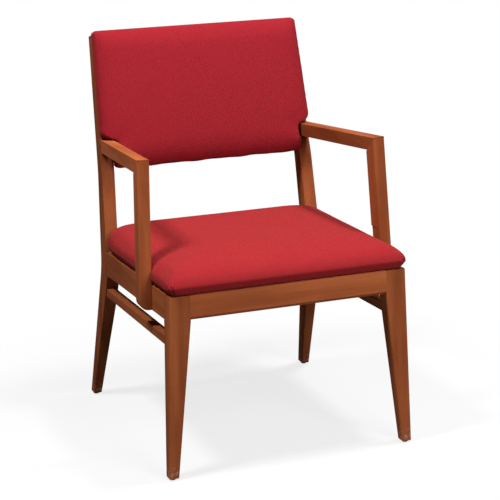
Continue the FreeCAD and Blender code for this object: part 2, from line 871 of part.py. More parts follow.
save_pair("front_leg", leg)
save_pair("rear_post", post)
save_pair("side_rail", rail)
save_pair("side_stretcher", rung)
save_pair("arm", arm)
save_pair("arm_post", upright)
save_pair("front_corner_block", front_block)
save_pair("rear_corner_block", rear_block)
save_pair("front_glide", front_glide)
save_pair("rear_glide", rear_glide)
save("front_rail", front_bar)
save("back_rail", back_bar)
save("seat_cover", seat_cover)
save("seat_foam", seat_foam)
save("seat_board", seat_board)
save("seat_dust_cloth", seat_cloth)
save("back_cover", back_cover)
save("back_foam", back_foam)
save("back_board", back_board)
save("back_outer_cloth", back_cloth)
save("glide_nails", *both([front_nail, rear_nail]))
save("side_rail_dowels", *both([leaned(dowel) for dowel in side_dowel]))
save("front_rail_dowels", *both([leaned(dowel) for dowel in front_dowel]))
save("back_rail_dowels", *both([leaned(dowel) for dowel in back_dowel]))
save("corner_block_screws", *both(front_screws + rear_screws))
save("seat_screws", *both([front_up, rear_up]))
save("back_screws", *both(pad_screws))
save("arm_screws", *both([leaned(arm_screw)]))
save("arm_dowels", *both([leaned(arm_dowel)]))
save("post_plugs", *both([leaned(arm_plug)] + pad_plugs))
save("arm_post_bolts", *both([leaned(bolt) for bolt in bolts]))
save("arm_post_washers", *both([leaned(washer) for washer in washers]))
save("arm_post_inserts", *both([leaned(insert) for insert in inserts]))
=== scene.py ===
import json
import math

import bmesh
import bpy
import numpy as np
from mathutils import Matrix, Vector
from mathutils.bvhtree import BVHTree


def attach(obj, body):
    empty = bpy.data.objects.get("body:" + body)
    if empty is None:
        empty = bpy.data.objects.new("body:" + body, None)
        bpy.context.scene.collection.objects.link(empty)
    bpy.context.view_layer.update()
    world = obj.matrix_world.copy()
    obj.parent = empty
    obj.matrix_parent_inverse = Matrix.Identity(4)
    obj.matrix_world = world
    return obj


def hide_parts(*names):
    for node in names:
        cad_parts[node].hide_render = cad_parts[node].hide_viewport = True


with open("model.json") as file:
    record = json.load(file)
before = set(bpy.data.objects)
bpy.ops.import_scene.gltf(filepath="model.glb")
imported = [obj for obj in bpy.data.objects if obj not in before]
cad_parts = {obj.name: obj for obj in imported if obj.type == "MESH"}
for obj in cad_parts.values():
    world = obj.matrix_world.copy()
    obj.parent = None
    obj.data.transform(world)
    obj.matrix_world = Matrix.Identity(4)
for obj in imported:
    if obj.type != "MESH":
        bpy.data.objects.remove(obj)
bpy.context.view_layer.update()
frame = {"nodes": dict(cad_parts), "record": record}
nodes = frame["nodes"]

# Camera of the photograph, in metres and degrees
CAMERA_TARGET = Vector((0.0085, -0.0489, 0.4094))
CAMERA_DISTANCE = 3.7471
CAMERA_AZIMUTH = -20.3
CAMERA_ELEVATION = 14.8
CAMERA_ROLL = -1.4
CAMERA_LENS = 120.8
CAMERA_SHIFT_X = -0.0018
CAMERA_SHIFT_Y = -0.0002
SENSOR_WIDTH = 36.0

# Slopes of the frame that the cushions lie on, in degrees
SEAT_SLOPE = 2.1
PAD_LEAN = 15.0

# Inner face of the right arm post where it meets the seat cushion
SIDE_HALF_WIDTH = 0.281
SIDE_LEAN = math.tan(math.radians(2.2))
POST_FRONT = -0.181
POST_REAR = -0.140
POST_CLEARANCE = 0.0006

# Skins of the cushions: remeshing, evening out and weave
SEAT_VOXEL = 0.005
PAD_VOXEL = 0.004
RELAX_SHARES = (0.50, -0.52)
SEAT_ROUNDS = 60
PAD_FIRST_ROUNDS = 6
PAD_LAST_ROUNDS = 8
WEAVE_ACROSS = 0.00413
WEAVE_ALONG = 0.0077
REAR_FACING = -0.7
LEAST_LENGTH = 1e-6

# Swelling of the cushions' cloth, which is held at the hem
PRESSURE = 4.0
STIFFNESS = {"tension": 15, "compression": 2, "shear": 3, "bending": 8}
SWELL_FRAMES = 20
SWELL_CAP = 0.0050
SEAT_SHRINK = 0.0015
PAD_SHRINK = 0.0012
HELD_HEIGHT = 0.004
HELD_FADE = 0.008
HELD_LEAST = 0.01
EVEN_SHARES = (0.5,) * 40

# Seat cushion's sides
SEAT_BULGE = 0.0030
BULGE_HEIGHT = 0.044
BULGE_REAR = 0.030
BULGE_FADE = 0.050
SEAT_HEM = 0.0020
HEM_HEIGHT = 0.010

# Pleats at the seat's front corners, each a slit with a lap beside it
PLEAT_CORNER = 0.014
PLEAT_REACH = 0.012
PLEAT_REAR = 0.006
PLEAT_CUTS = 3
PLEAT_HEIGHT = 0.024
PLEAT_DEPTH = 0.0045
PLEAT_WIDTH = 0.0014
PLEAT_SHIFT = 0.005
PLEAT_LEAN = 0.10
PLEAT_OUTSIDE = 0.004
LAP_HEIGHT = 0.0009
LAP_PLACE = 0.0026
LAP_WIDTH = 0.0016

# Back pad's front and upper corners
PAD_EDGE = 0.015
PAD_CROWN = 0.007
PAD_ROLL = {"top": 0.030, "side": 0.026, "notch": 0.008, "bottom": 0.036}
PAD_CORNER = 0.016
CORNER_POWER = 3.5
OUTLINE_STEP = 0.001

# Back pad's notches over the arms, and how far the cloth is drawn down there
NOTCH_TOP = 0.076
NOTCH_INNER = 0.2265
NOTCH_OUTER = 0.2585
NOTCH_EASE = 0.030
NOTCH_BAND = 0.004
NOTCH_FADE_UP = 0.045
NOTCH_FADE_DOWN = 0.050
NOTCH_DROP = 0.0130
NOTCH_SLANT = 0.06
NOTCH_CURVE = 2.6
NOTCH_MARGIN = 0.001
ARM_TOP = 0.0704
ARM_FALL = 0.197
ARM_CLEARANCE = 0.0006

# Back pad's lower part: its spread below the arms and the waver of its edge
SPREAD = 0.0045
SPREAD_HEIGHT = 0.024
SPREAD_FADE = 0.012
SPREAD_FROM = 0.190
SPREAD_RUN = 0.035
RIPPLE = 0.0007
RIPPLE_HEIGHT = 0.030
RIPPLE_WAVES = ((1.0, 61, 0.6), (0.6, 113, 2.1))

# Cloth sheets
SHEET_STEP = 0.0025
SHEET_THICKNESS = 0.0009
SHEET_DROP = 0.0012
PANEL_TRIM = 0.004
PANEL_TURN = 0.0005
TURN_WIDTH = 0.006
TURN_FADE = 0.003
PULL_HEIGHT = 0.0002
PULL_WAVES_X = 190
PULL_WAVES_Y = 170
PULL_REACH = 0.05
DUST_TRIM = 0.002
DUST_SAG = 0.0040
SAG_RUN = 0.060
CREASE_HEIGHT = 0.0004
CREASE_WAVES = 47
CREASE_SWAY = 3
SWAY_WAVES = 9
CREASE_REACH = 0.05

# Wooden pieces whose grain isn't upright, and boards lighter or darker than the rest, partly by their own
# tone and partly by painted light and shade
GRAIN_AXIS = {"front_rail": "X", "back_rail": "X", "side": "Y", "arm_left": "Y", "arm_right": "Y"}
BOARD_TONE_AND_PAINTED_LIGHT = {
    "arm_left": 1.05,
    "arm_right": 0.76,
    "front_rail": 1.35,
    "front_leg_right": 1.10,
    "arm_post_right": 1.02,
    "rear_post_right": 0.95,
    "rear_post_left": 0.72,
    "side_rail_left": 0.90,
    "side_stretcher_left": 0.80,
}

# Noise patterns: scale, detail, roughness, and the values where the mask starts and is full
BANDS = (26, 3, 0.55, 0.30, 0.72)
FIBRES = (260, 3, 0.55, 0.35, 0.75)
PORES = (620, 2, 0.55, 0.60, 0.78)
MOTTLE = (9, 2, 0.55, 0.35, 0.75)
RUBBED = (130, 5, 0.7, 0.50, 0.66)
FABRIC_FIBRES = (420, 3, 0.55, 0.3, 0.7)
FABRIC_CLOUDS = (14, 3, 0.55, 0.35, 0.7)
SPECKLES = (4, 0.55, 0.35, 0.65)

# Wood: stretch of the grain, strength of each pattern, and finish
GRAIN_STRETCH = 0.07
FIBRE_SHARE = 0.28
PORE_SHARE = 0.35
MOTTLE_SHARE = 0.25
END_GRAIN = 0.50
END_FACING = (0.85, 0.96)
SCUFF_HEIGHTS = (0.006, 0.045)
WOOD_ROUGHNESS = (0.42, 0.58)
WOOD_FINISH = {"Specular IOR Level": 0.0, "Coat Weight": 0.022, "Coat Roughness": 0.28}

# Fabric: contrast of the threads, strength of each pattern, and finish
THREAD_EDGE = 0.60
FABRIC_FIBRE_SHARE = 0.35
FABRIC_CLOUD_SHARE = 0.05
FABRIC_FINISH = {
    "Roughness": 0.78,
    "Specular IOR Level": 0.0,
    "Sheen Weight": 0.11,
    "Sheen Roughness": 0.45,
    "Sheen Tint": (1.0, 0.42, 0.28, 1),
}

# Bump of each kind of surface: strength and distance
WOOD_RELIEF = (0.12, 0.0004)
WEAVE_RELIEF = (0.55, 0.0006)
SPECKLE_RELIEF = (0.2, 0.0003)

# Colours, linear
CHERRY_LIGHT = (0.450, 0.128, 0.044, 1)
CHERRY_DARK = (0.280, 0.069, 0.0235, 1)
CHERRY_PORE = (0.135, 0.031, 0.0105, 1)
SCUFF = (0.50, 0.36, 0.27, 1)
# One red fabric in two copies: the seat's pair is painted lighter and more orange for the light on its top,
# and the pad's pair is painted a little darker, as painted shade
SEAT_LIGHT = (0.500, 0.0330, 0.0400, 1)
SEAT_DARK = (0.185, 0.0115, 0.0135, 1)
PAD_LIGHT = (0.390, 0.0220, 0.0325, 1)
PAD_DARK = (0.208, 0.0105, 0.0160, 1)

# Other materials: name, two linear colours, noise scale, roughness and metallic
SLOT_LOOKS = {
    "block_wood": ("bare_wood", (0.45, 0.27, 0.12, 1), (0.36, 0.20, 0.085, 1), 70, 0.7, 0.0),
    "plywood": ("plywood", (0.52, 0.35, 0.18, 1), (0.42, 0.27, 0.13, 1), 40, 0.75, 0.0),
    "foam": ("foam", (0.62, 0.55, 0.34, 1), (0.52, 0.46, 0.28, 1), 260, 0.9, 0.0),
    "steel": ("zinc_steel", (0.55, 0.55, 0.53, 1), (0.42, 0.42, 0.40, 1), 500, 0.35, 1.0),
    "brass": ("brass", (0.60, 0.42, 0.15, 1), (0.48, 0.33, 0.11, 1), 500, 0.35, 1.0),
    "glide": ("dark_plastic", (0.030, 0.027, 0.025, 1), (0.055, 0.050, 0.045, 1), 300, 0.55, 0.0),
}
DUST_FELT = ("black_felt", (0.012, 0.012, 0.013, 1), (0.035, 0.035, 0.037, 1), 900, 0.95, 0.0)

# Stage
FLOOR_HALF = 12.0
FLOOR_PALE = (0.85, 0.85, 0.85, 1)
FLOOR_BOUNCE = (0.20, 0.20, 0.20, 1)
FLOOR_FINISH = {"Roughness": 1.0, "Specular IOR Level": 0.0}
SHADOW_NEAR = 0.45
SHADOW_FAR = 1.00
SHADOW_SHARE = 0.22
WORLD_LIGHT = 0.04

# Square lamps: place, size and power
LAMP_TARGET = Vector((0, 0, 0.45))
LAMPS = {
    "upper_left": ((-1.40, -0.50, 3.0), 0.5, 70),
    "upper_right": ((0.85, -0.30, 3.0), 0.5, 56),
    "front_right": ((0.6, -2.7, 2.1), 1.4, 53),
}


def add_node(tree, kind, **settings):
    """New shader node, with the given properties or unlinked inputs set."""
    node = tree.nodes.new(kind)
    for name, value in settings.items():
        if name in node.inputs:
            node.inputs[name].default_value = value
        else:
            setattr(node, name, value)
    return node


def set_inputs(node, values):
    """Sets some of a node's unlinked inputs."""
    for name, value in values.items():
        node.inputs[name].default_value = value


def new_material(name):
    """Empty node material with its tree and its Principled shader."""
    material = bpy.data.materials.new(name)
    material.use_nodes = True
    tree = material.node_tree
    return material, tree, tree.nodes["Principled BSDF"]


def feed(tree, socket, value):
    """Links a socket into an input, or sets a plain value on it."""
    if isinstance(value, bpy.types.NodeSocket):
        tree.links.new(value, socket)
    else:
        socket.default_value = value


def mix_colours(tree, factor, first, second, blend="MIX"):
    """Mix of two colours, each a socket or a plain colour."""
    mix = add_node(tree, "ShaderNodeMix", data_type="RGBA", blend_type=blend)
    feed(tree, mix.inputs[0], factor)
    feed(tree, mix.inputs[6], first)
    feed(tree, mix.inputs[7], second)
    return mix.outputs[2]


def calculate(tree, operation, first, second):
    """Math node on sockets or plain numbers."""
    node = add_node(tree, "ShaderNodeMath", operation=operation)
    feed(tree, node.inputs[0], first)
    feed(tree, node.inputs[1], second)
    return node.outputs[0]


def laid_over(tree, colour, other, mask, share):
    """The colour with a share of another laid over it where the mask is."""
    return mix_colours(tree, calculate(tree, "MULTIPLY", mask, share), colour, other)


def ramp(tree, factor, low, high):
    """Value that rises smoothly from 0 at low to 1 at high."""
    node = add_node(tree, "ShaderNodeMapRange", interpolation_type="SMOOTHSTEP")
    set_inputs(node, {"From Min": low, "From Max": high})
    tree.links.new(factor, node.inputs["Value"])
    return node.outputs["Result"]


def remapped(tree, value, low, high):
    """A value from 0 to 1 as one from low to high."""
    node = add_node(tree, "ShaderNodeMapRange")
    set_inputs(node, {"To Min": low, "To Max": high})
    tree.links.new(value, node.inputs["Value"])
    return node.outputs["Result"]


def axes_of(tree, vector):
    """The vector's X, Y and Z."""
    node = add_node(tree, "ShaderNodeSeparateXYZ")
    tree.links.new(vector, node.inputs[0])
    return node.outputs


def object_place(tree):
    """Place on the object, in its own coordinates."""
    return add_node(tree, "ShaderNodeTexCoord").outputs["Object"]


def noise_mask(tree, vector, scale, detail, roughness, low, high):
    """Mask of a noise pattern at a vector."""
    node = add_node(tree, "ShaderNodeTexNoise", Scale=scale, Detail=detail, Roughness=roughness)
    tree.links.new(vector, node.inputs["Vector"])
    return ramp(tree, node.outputs[0], low, high)


def add_relief(tree, shader, height, strength, distance):
    """Bumps the shader's surface by a height mask."""
    bump = add_node(tree, "ShaderNodeBump", Strength=strength, Distance=distance)
    tree.links.new(height, bump.inputs["Height"])
    tree.links.new(bump.outputs["Normal"], shader.inputs["Normal"])


def along_grain(tree, place, grain_axis):
    """The place drawn together along the grain, so that a texture stretches there."""
    scale = [1.0, 1.0, 1.0]
    scale["XYZ".index(grain_axis)] = GRAIN_STRETCH
    node = add_node(tree, "ShaderNodeMapping", Scale=scale)
    tree.links.new(place, node.inputs["Vector"])
    return node.outputs[0]


def with_end_grain(tree, colour, grain_axis):
    """The colour, darker on faces that cut across the grain."""
    normal = add_node(tree, "ShaderNodeNewGeometry").outputs["Normal"]
    across = calculate(tree, "ABSOLUTE", axes_of(tree, normal)[grain_axis], 0.0)
    return laid_over(tree, colour, CHERRY_PORE, ramp(tree, across, *END_FACING), END_GRAIN)


def with_scuffs(tree, colour, place):
    """The colour, rubbed pale in spots just above the floor."""
    low = calculate(tree, "SUBTRACT", 1.0, ramp(tree, axes_of(tree, place)["Z"], *SCUFF_HEIGHTS))
    return laid_over(tree, colour, SCUFF, low, noise_mask(tree, place, *RUBBED))


def cherry_wood(name, grain_axis, tone_and_painted_light):
    """Satin cherry-stained board, its tone partly its own and partly painted light and shade, its grain along
    one axis, scuffed low down.
    """
    material, tree, shader = new_material(name)
    place = object_place(tree)
    grain_place = along_grain(tree, place, grain_axis)
    fibres = noise_mask(tree, grain_place, *FIBRES)
    colour = mix_colours(tree, noise_mask(tree, grain_place, *BANDS), CHERRY_DARK, CHERRY_LIGHT)
    colour = laid_over(tree, colour, CHERRY_DARK, fibres, FIBRE_SHARE)
    colour = laid_over(tree, colour, CHERRY_PORE, noise_mask(tree, grain_place, *PORES), PORE_SHARE)
    colour = laid_over(tree, colour, CHERRY_LIGHT, noise_mask(tree, place, *MOTTLE), MOTTLE_SHARE)
    # Multiplies the board by its tone, which is partly the wood's own and partly painted light and shade
    colour = mix_colours(tree, 1.0, colour, (tone_and_painted_light, tone_and_painted_light, tone_and_painted_light, 1), "MULTIPLY")
    colour = with_scuffs(tree, with_end_grain(tree, colour, grain_axis), place)
    tree.links.new(colour, shader.inputs["Base Color"])
    tree.links.new(remapped(tree, fibres, *WOOD_ROUGHNESS), shader.inputs["Roughness"])
    set_inputs(shader, WOOD_FINISH)
    add_relief(tree, shader, fibres, *WOOD_RELIEF)
    return material


def red_weave(name, light, dark):
    """Fine basket weave of lighter and darker red, drawn on the piece's unfolded coordinates."""
    material, tree, shader = new_material(name)
    unfolded = add_node(tree, "ShaderNodeAttribute", attribute_name="weave").outputs["Vector"]
    axes = axes_of(tree, unfolded)
    waves = []
    for axis, pitch in (("X", WEAVE_ACROSS), ("Y", WEAVE_ALONG)):
        angle = calculate(tree, "MULTIPLY", axes[axis], 2 * math.pi / pitch)
        waves.append(calculate(tree, "SINE", angle, 0.0))
    thread = ramp(tree, calculate(tree, "MULTIPLY", *waves), -THREAD_EDGE, THREAD_EDGE)
    colour = mix_colours(tree, thread, dark, light)
    colour = laid_over(tree, colour, dark, noise_mask(tree, unfolded, *FABRIC_FIBRES), FABRIC_FIBRE_SHARE)
    colour = laid_over(tree, colour, light, noise_mask(tree, unfolded, *FABRIC_CLOUDS), FABRIC_CLOUD_SHARE)
    tree.links.new(colour, shader.inputs["Base Color"])
    set_inputs(shader, FABRIC_FINISH)
    add_relief(tree, shader, thread, *WEAVE_RELIEF)
    return material


def speckled(name, first, second, scale, roughness, metallic):
    """Plain material whose colour varies a little with fine noise."""
    material, tree, shader = new_material(name)
    grain = noise_mask(tree, object_place(tree), scale, *SPECKLES)
    tree.links.new(mix_colours(tree, grain, first, second), shader.inputs["Base Color"])
    set_inputs(shader, {"Roughness": roughness, "Metallic": metallic})
    add_relief(tree, shader, grain, *SPECKLE_RELIEF)
    return material


def dress_frame():
    """Gives each carried-over node its material, the wood with its grain along the piece."""
    by_slot = {slot: speckled(*look) for slot, look in SLOT_LOOKS.items()}
    for part in frame["record"]["subparts"]:
        name = part["node"]
        material = by_slot.get(part["material_slot"])
        if material is None:
            axis = next((GRAIN_AXIS[start] for start in GRAIN_AXIS if name.startswith(start)), "Z")
            material = cherry_wood(f"cherry_{name}", axis, BOARD_TONE_AND_PAINTED_LIGHT.get(name, 1.0))
        mesh = nodes[name].data
        mesh.materials.clear()
        mesh.materials.append(material)


def points_of(mesh):
    """The mesh's vertices as an array."""
    points = np.empty(len(mesh.vertices) * 3)
    mesh.vertices.foreach_get("co", points)
    return points.reshape(-1, 3)


def normals_of(mesh):
    """The vertices' normals as an array."""
    normals = np.empty(len(mesh.vertices) * 3)
    mesh.vertices.foreach_get("normal", normals)
    return normals.reshape(-1, 3)


def edge_ends(mesh):
    """The numbers of the vertices at the two ends of each edge, one after the other."""
    ends = np.empty(len(mesh.edges) * 2, dtype=np.int64)
    mesh.edges.foreach_get("vertices", ends)
    return ends


def set_points(mesh, points):
    """Moves the mesh's vertices."""
    mesh.vertices.foreach_set("co", points.ravel())
    mesh.update()


def turned(angle):
    """Rows that turn frame points into a plane tilted about X by an angle."""
    return np.array(Matrix.Rotation(math.radians(-angle), 3, "X"))


def flat_points(obj, local):
    """The object's vertices in a tilted plane's coordinates, the third away from the plane."""
    return points_of(obj.data) @ local.T


def flat_normals(obj, local):
    """The vertices' normals in a tilted plane's coordinates."""
    return normals_of(obj.data) @ local.T


def set_flat_points(obj, flat, local):
    """Moves the object's vertices to places in a tilted plane's coordinates."""
    set_points(obj.data, flat @ local)


def bake(obj):
    """Applies the object's modifiers to its mesh."""
    graph = bpy.context.evaluated_depsgraph_get()
    old = obj.data
    obj.data = bpy.data.meshes.new_from_object(obj.evaluated_get(graph))
    obj.modifiers.clear()
    bpy.data.meshes.remove(old)


def keep_largest_shell(obj):
    """Drops the small closed shells that remeshing leaves inside."""
    shape = bmesh.new()
    shape.from_mesh(obj.data)
    left = set(shape.verts)
    shells = []
    while left:
        stack = [left.pop()]
        shell = list(stack)
        while stack:
            vert = stack.pop()
            for edge in vert.link_edges:
                other = edge.other_vert(vert)
                if other in left:
                    left.remove(other)
                    stack.append(other)
                    shell.append(other)
        shells.append(shell)
    shells.sort(key=len)
    for shell in shells[:-1]:
        bmesh.ops.delete(shape, geom=shell, context="VERTS")
    shape.to_mesh(obj.data)
    shape.free()


def joined_copy(name, voxel, *node_names):
    """New object with the meshes of some nodes, remeshed into one closed skin that lies on them."""
    merged = bmesh.new()
    for node_name in node_names:
        merged.from_mesh(nodes[node_name].data)
    solids = BVHTree.FromBMesh(merged)
    mesh = bpy.data.meshes.new(name)
    merged.to_mesh(mesh)
    merged.free()
    skin = bpy.data.objects.new(name, mesh)
    bpy.context.scene.collection.objects.link(skin)
    remesh = skin.modifiers.new("remesh", "REMESH")
    remesh.mode = "VOXEL"
    remesh.voxel_size = voxel
    bake(skin)
    keep_largest_shell(skin)
    points = points_of(skin.data)
    for index, normal in enumerate(normals_of(skin.data)):
        place = solids.ray_cast(points[index] + normal * voxel, -normal, 2 * voxel)[0]
        if place is not None:
            points[index] = place
    set_points(skin.data, points)
    return skin


def averaged(mesh, values, shares):
    """The vertices' values, drawn towards the mean of their neighbours once for each share."""
    ends = edge_ends(mesh)
    first, second = ends[0::2], ends[1::2]
    count = np.bincount(ends, minlength=len(values))[:, None]
    for share in shares:
        total = np.zeros_like(values)
        np.add.at(total, first, values[second])
        np.add.at(total, second, values[first])
        values = values + (total / count - values) * share
    return values


def relax(obj, rounds):
    """Evens out the steps of the remeshed skin without shrinking it, each round to and fro."""
    set_points(obj.data, averaged(obj.data, points_of(obj.data), RELAX_SHARES * rounds))


def held_share(obj, local):
    """How firmly each vertex of the cloth is held: fully at the hem, not at all above it."""
    height = flat_points(obj, local)[:, 2]
    return np.clip(1 - (height - height.min() - HELD_HEIGHT) / HELD_FADE, 0, 1)


def add_cloth(obj, held):
    """Cloth under pressure, pinned where it is held."""
    pins = obj.vertex_groups.new(name="held")
    for index in np.nonzero(held > HELD_LEAST)[0]:
        pins.add([int(index)], float(held[index]), "REPLACE")
    cloth = obj.modifiers.new("cloth", "CLOTH")
    settings = cloth.settings
    settings.vertex_group_mass = "held"
    settings.use_pressure = True
    settings.uniform_pressure_force = PRESSURE
    for kind, stiffness in STIFFNESS.items():
        setattr(settings, f"{kind}_stiffness", stiffness)
    settings.effector_weights.gravity = 0
    cloth.collision_settings.use_collision = False


def swell(obj, held, shrink):
    """Inflates a cushion's cloth from a slightly smaller shape and keeps its evened outward movement."""
    normals = normals_of(obj.data)
    start = points_of(obj.data) - normals * shrink * (1 - held)[:, None]
    set_points(obj.data, start)
    add_cloth(obj, held)
    scene = bpy.context.scene
    for step in range(1, SWELL_FRAMES + 1):
        scene.frame_set(step)
    bake(obj)
    scene.frame_set(1)
    outward = ((points_of(obj.data) - start) * normals).sum(axis=1, keepdims=True)
    outward = averaged(obj.data, np.clip(outward, 0, SWELL_CAP), EVEN_SHARES)
    set_points(obj.data, start + normals * outward)
    obj.vertex_groups.clear()


def subdivide(obj):
    """One level of subdivision."""
    modifier = obj.modifiers.new("subdivision", "SUBSURF")
    modifier.levels = 1
    modifier.render_levels = 1
    bake(obj)


def unfold(obj, local):
    """Stores weave coordinates: the face plane's own, folded out over the sides but not on the flat rear."""
    flat = flat_points(obj, local)
    tilt = flat_normals(obj, local)
    upright = np.linalg.norm(tilt[:, :2], axis=1, keepdims=True)
    side = tilt[:, :2] / np.maximum(upright, LEAST_LENGTH)
    drop = flat[:, 2].max() - flat[:, 2:]
    lean = np.where(tilt[:, 2:] < 0, 1, upright)
    lean[tilt[:, 2] < REAR_FACING] = 0
    spread = flat[:, :2] + side * drop * lean
    layer = obj.data.attributes.new("weave", "FLOAT_VECTOR", "POINT")
    layer.data.foreach_set("vector", np.column_stack([spread, flat[:, 2]]).ravel())


def finish_cushion(cushion, local, fabric):
    """Weave coordinates, material and root body that both cushions share."""
    unfold(cushion, local)
    cushion.data.polygons.foreach_set("use_smooth", [True] * len(cushion.data.polygons))
    cushion.data.materials.append(fabric)
    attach(cushion, "root")


def bulge(seat, local):
    """Rounds the cushion's front and sides outwards, and its lower edge out to the rails."""
    flat = flat_points(seat, local)
    tilt = flat_normals(seat, local)
    low, high = flat.min(axis=0), flat.max(axis=0)
    height = flat[:, 2] - low[2]
    belly = SEAT_BULGE * np.sin(np.pi * np.clip(height / BULGE_HEIGHT, 0, 1))
    hem = SEAT_HEM * np.clip(1 - height / HEM_HEIGHT, 0, 1)
    ahead = np.clip((high[1] - BULGE_REAR - flat[:, 1]) / BULGE_FADE, 0, 1)
    flat[:, 0] += tilt[:, 0] * (belly + hem) * ahead
    flat[:, 1] += np.minimum(tilt[:, 1], 0) * belly
    set_flat_points(seat, flat, local)


def press_posts(seat):
    """Lets the arm posts press into the cushion's sides."""
    points = points_of(seat.data)
    x, y, z = points.T
    face = SIDE_HALF_WIDTH - z * SIDE_LEAN - POST_CLEARANCE
    beside = (y > POST_FRONT) & (y < POST_REAR) & (np.abs(x) > face)
    points[beside, 0] = np.sign(x[beside]) * face[beside]
    set_points(seat.data, points)


def refine(obj, near, cuts):
    """Divides the faces whose middles are near a place, for a detail finer than the mesh."""
    shape = bmesh.new()
    shape.from_mesh(obj.data)
    chosen = {edge for face in shape.faces if near(face.calc_center_median()) for edge in face.edges}
    bmesh.ops.subdivide_edges(shape, edges=list(chosen), cuts=cuts, use_grid_fill=True)
    shape.to_mesh(obj.data)
    shape.free()


def fold_corners(seat, local):
    """Presses the slit of a folded pleat into each lower front corner of the seat."""
    flat = flat_points(seat, local)
    low = flat[:, 2].min()
    corner_x = flat[:, 0].max() - PLEAT_CORNER
    corner_y = flat[:, 1].min() + PLEAT_CORNER
    top = low + PLEAT_HEIGHT + PLEAT_REACH
    turn = Matrix(local.tolist())

    def near(middle):
        x, y, z = turn @ middle
        return abs(x) > corner_x - PLEAT_REACH and y < corner_y + PLEAT_REAR and z < top

    refine(seat, near, PLEAT_CUTS)
    flat = flat_points(seat, local)
    out = np.stack([np.abs(flat[:, 0]) - corner_x, corner_y - flat[:, 1]], axis=1)
    height = flat[:, 2] - low
    across = (out[:, 0] - out[:, 1]) / math.sqrt(2) + PLEAT_SHIFT - PLEAT_LEAN * height
    outside = (out.sum(axis=1) > PLEAT_OUTSIDE) & (out.min(axis=1) > -PLEAT_REACH)
    fade = np.clip(1 - height / PLEAT_HEIGHT, 0, 1) ** 0.5
    depth = PLEAT_DEPTH * np.exp(-(across / PLEAT_WIDTH) ** 2) * fade * outside
    lap = LAP_HEIGHT * np.exp(-((across - LAP_PLACE) / LAP_WIDTH) ** 2) * fade * outside
    move = (lap - depth) / math.sqrt(2)
    flat[:, 0] += np.sign(flat[:, 0]) * move
    flat[:, 1] -= move
    set_flat_points(seat, flat, local)


def build_seat(fabric):
    """Seat cushion: swollen cloth over its foam, pressed by the arm posts, pleated at the front corners."""
    seat = joined_copy("seat_cushion", SEAT_VOXEL, "seat_cover", "seat_foam", "seat_board", "seat_dust_cloth")
    local = turned(-SEAT_SLOPE)
    held = held_share(seat, local)
    relax(seat, SEAT_ROUNDS)
    swell(seat, held, SEAT_SHRINK)
    bulge(seat, local)
    press_posts(seat)
    subdivide(seat)
    fold_corners(seat, local)
    finish_cushion(seat, local, fabric)
    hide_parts("seat_cover", "seat_foam")


def span(flat, ends, axis, samples):
    """Lowest and highest place across an outline at each sample along an axis of its plane."""
    start, end = flat[ends[0::2]], flat[ends[1::2]]
    spans = []
    for sample in samples:
        crossing = (start[:, axis] - sample) * (end[:, axis] - sample) < 0
        first, second = start[crossing], end[crossing]
        share = (sample - first[:, axis]) / (second[:, axis] - first[:, axis])
        values = first[:, 1 - axis] + (second[:, 1 - axis] - first[:, 1 - axis]) * share
        spans.append((values.min(), values.max()))
    return np.array(spans).T


def edge_distances(flat, ends):
    """How far each point lies inside each kind of edge of the pad, seen from the front."""
    x, y = np.abs(flat[:, 0]), flat[:, 1]
    low, high = flat[:, :2].min(axis=0), flat[:, :2].max(axis=0)
    rows = np.arange(low[1] + OUTLINE_STEP / 2, high[1], OUTLINE_STEP)
    columns = np.arange(OUTLINE_STEP / 2, high[0], OUTLINE_STEP)
    half_width = np.interp(y, rows, span(flat, ends, 1, rows)[1])
    upper = np.interp(x, columns, span(flat, ends, 0, columns)[1])
    notch = low[1] + NOTCH_TOP
    corner = np.hypot(np.maximum(NOTCH_INNER - x, 0), np.maximum(y - notch, 0))
    return {
        "top": upper - y,
        "side": np.where(y > notch, half_width - x, high[0]),
        "notch": np.where(y > notch, corner, half_width - x),
        "bottom": y - low[1],
    }


def sharpen_corners(pad, local):
    """Draws the pad's two upper corners further out, as the cloth's folds fill them."""
    flat = flat_points(pad, local)
    high = flat[:, :2].max(axis=0)
    beyond = np.stack([np.abs(flat[:, 0]), flat[:, 1]], axis=1) - (high - PAD_CORNER)
    near = (beyond > 0).all(axis=1)
    share = beyond[near] / PAD_CORNER
    reach = np.linalg.norm(share, axis=1) / (share ** CORNER_POWER).sum(axis=1) ** (1 / CORNER_POWER)
    moved = beyond[near] * (reach - 1)[:, None]
    flat[near, 0] += np.sign(flat[near, 0]) * moved[:, 0]
    flat[near, 1] += moved[:, 1]
    set_flat_points(pad, flat, local)


def fill_front(pad, local):
    """Fills the pad's front: a level crowned face that rolls over only near its edges."""
    flat = flat_points(pad, local)
    facing = flat_normals(pad, local)[:, 2]
    low, high = flat.min(axis=0), flat.max(axis=0)
    front = (facing > 0) & (flat[:, 2] > low[2] + PAD_EDGE)
    roll = np.ones(front.sum())
    for name, distance in edge_distances(flat, edge_ends(pad.data)).items():
        inward = np.clip(distance[front] / PAD_ROLL[name], 0, 1)
        roll *= np.sqrt(1 - (1 - inward) ** 2)
    middle = (low + high) / 2
    reach = (flat[front, :2] - middle[:2]) / (high - low)[:2] * 2
    crown = PAD_CROWN * (1 - reach[:, 0] ** 2) * (1 - reach[:, 1] ** 2)
    height = high[2] - low[2] - PAD_EDGE - PAD_CROWN
    flat[front, 2] = low[2] + PAD_EDGE + height * roll + np.maximum(crown, 0)
    set_flat_points(pad, flat, local)


